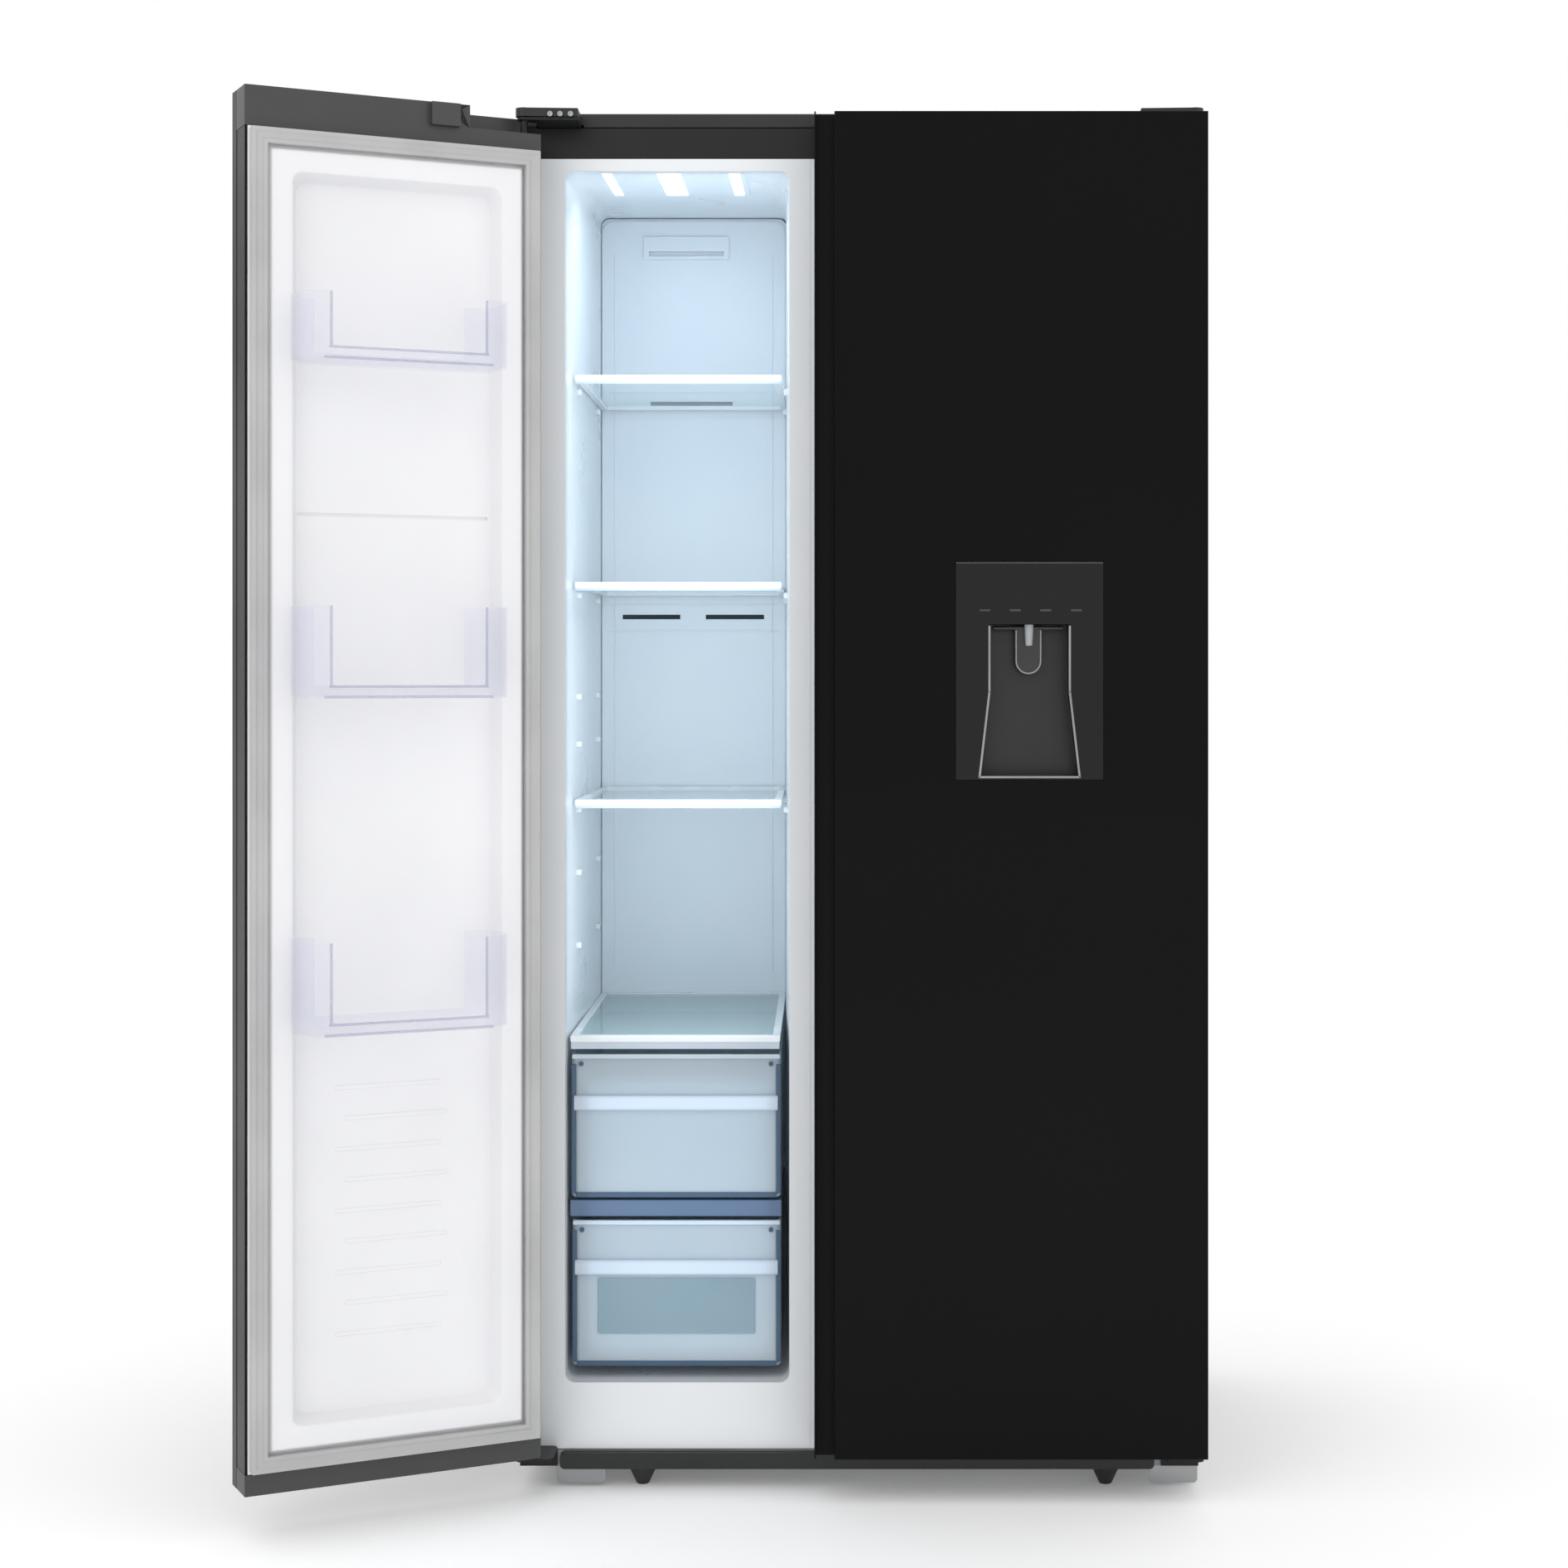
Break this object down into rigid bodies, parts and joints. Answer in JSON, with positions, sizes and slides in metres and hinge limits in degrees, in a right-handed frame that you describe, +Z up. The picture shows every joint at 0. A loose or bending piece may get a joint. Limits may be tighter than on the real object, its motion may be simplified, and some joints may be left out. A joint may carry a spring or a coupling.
{
  "type": "side by side refrigerator",
  "caption": "Free-standing side by side refrigerator: tall freezer on the left with its door open, fridge on the right with its door shut and a water dispenser in it.",
  "frame": {"origin": "middle of the footprint of the assembly's box on the floor, with the freezer door open as stored", "axes": "+X to the right as seen from the front, +Y backwards into the cabinet, +Z up"},
  "size_m": [1.23, 0.9054, 1.803],
  "materials": {
    "black_glass": "gloss",
    "black_steel": "satin",
    "grey_steel": "satin",
    "hinge_steel": "satin",
    "black_hinge": "satin",
    "rigid_foam": "matte",
    "white_liner": "satin",
    "grey_gasket": "matte",
    "dark_plastic": "satin",
    "dark_aluminium": "satin",
    "clear_lavender": "gloss",
    "clear_blue": "gloss",
    "shelf_glass": "gloss",
    "navy_plastic": "satin",
    "lamp_lens": "gloss",
    "silver_fins": "satin",
    "black_compressor": "gloss",
    "smoke_plastic": "gloss",
    "clear_plastic": "gloss"
  },
  "bodies": {
    "cabinet": {"outer_case": "black_steel", "back_panel": "grey_steel", "base_chassis": "grey_steel", "freezer_top_hinge": "hinge_steel", "fridge_top_hinge": "hinge_steel", "freezer_lower_hinge": "black_hinge", "fridge_lower_hinge": "black_hinge", "insulation_foam": "rigid_foam", "freezer_liner": "white_liner", "fridge_liner": "white_liner", "freezer_duct": "white_liner", "fridge_duct": "white_liner", "top_cover": "dark_plastic", "kick_plate": "dark_plastic", "power_inlet": "dark_plastic", "fridge_crisper": "clear_blue", "freezer_shelf_1": "shelf_glass", "freezer_shelf_2": "shelf_glass", "freezer_shelf_3": "shelf_glass", "freezer_shelf_4": "shelf_glass", "fridge_shelf_1": "shelf_glass", "fridge_shelf_2": "shelf_glass", "fridge_shelf_3": "shelf_glass", "drawer_divider": "navy_plastic", "freezer_lamp": "lamp_lens", "evaporator": "silver_fins", "compressor": "black_compressor", "condenser": "black_compressor"},
    "freezer_door": {"freezer_door_panel": "black_glass", "freezer_door_foam": "rigid_foam", "freezer_door_liner": "white_liner", "freezer_door_gasket": "grey_gasket", "freezer_door_top_cap": "dark_plastic", "freezer_door_bottom_cap": "dark_plastic", "freezer_door_grip": "dark_aluminium", "freezer_bin_1": "clear_lavender", "freezer_bin_2": "clear_lavender", "freezer_bin_3": "clear_lavender"},
    "fridge_door": {"fridge_door_panel": "black_glass", "fridge_door_foam": "rigid_foam", "fridge_door_liner": "white_liner", "fridge_door_gasket": "grey_gasket", "fridge_door_top_cap": "dark_plastic", "fridge_door_bottom_cap": "dark_plastic", "fridge_door_grip": "dark_aluminium", "fridge_bin_1": "clear_lavender", "fridge_bin_2": "clear_lavender", "dispenser_bezel": "black_glass", "dispenser_housing": "dark_plastic", "dispenser_nozzle": "clear_plastic", "water_tank": "clear_blue"},
    "upper_drawer": {"freezer_drawer_upper": "clear_blue"},
    "lower_drawer": {"freezer_drawer_lower": "clear_blue"},
    "paddle": {"dispenser_paddle": "smoke_plastic"},
    "evaporator_fan": {"evaporator_fan": "dark_plastic"},
    "condenser_fan": {"condenser_fan": "dark_plastic"},
    "left_roller": {"rear_roller_left": "dark_plastic"},
    "right_roller": {"rear_roller_right": "dark_plastic"},
    "left_foot": {"front_foot_left": "dark_plastic"},
    "right_foot": {"front_foot_right": "dark_plastic"}
  },
  "joints": [
    {"name": "freezer_door_hinge", "type": "hinge", "parent": "cabinet", "child": "freezer_door", "pos_m": [-0.26702, -0.20533, 0], "axis": [0, 0, -1], "range_deg": [-154, 6]},
    {"name": "fridge_door_hinge", "type": "hinge", "parent": "cabinet", "child": "fridge_door", "pos_m": [0.60198, -0.20533, 0], "axis": [0, 0, 1], "range_deg": [0, 130]},
    {"name": "upper_drawer_slide", "type": "slide", "parent": "cabinet", "child": "upper_drawer", "axis": [0, -1, 0], "range_m": [0, 0.3]},
    {"name": "lower_drawer_slide", "type": "slide", "parent": "cabinet", "child": "lower_drawer", "axis": [0, -1, 0], "range_m": [0, 0.22]},
    {"name": "paddle_pivot", "type": "hinge", "parent": "fridge_door", "child": "paddle", "pos_m": [0.38548, -0.21333, 1.1265], "axis": [1, 0, 0], "range_deg": [0, 10], "stiffness_Nm_per_rad": 0.15, "springref_deg": -2.86},
    {"name": "evaporator_fan_spin", "type": "hinge", "parent": "cabinet", "child": "evaporator_fan", "pos_m": [-0.07552, 0.38217, 1.05], "axis": [0, 1, 0], "continuous": true},
    {"name": "condenser_fan_spin", "type": "hinge", "parent": "cabinet", "child": "condenser_fan", "pos_m": [0.15248, 0.33767, 0.16], "axis": [1, 0, 0], "continuous": true},
    {"name": "left_roller_spin", "type": "hinge", "parent": "cabinet", "child": "left_roller", "pos_m": [-0.21252, 0.40267, 0.02], "axis": [1, 0, 0], "continuous": true},
    {"name": "right_roller_spin", "type": "hinge", "parent": "cabinet", "child": "right_roller", "pos_m": [0.54748, 0.40267, 0.02], "axis": [1, 0, 0], "continuous": true},
    {"name": "left_foot_turn", "type": "hinge", "parent": "cabinet", "child": "left_foot", "pos_m": [-0.11752, -0.13933, 0], "axis": [0, 0, 1], "continuous": true},
    {"name": "right_foot_turn", "type": "hinge", "parent": "cabinet", "child": "right_foot", "pos_m": [0.49248, -0.13933, 0], "axis": [0, 0, 1], "continuous": true}
  ]
}
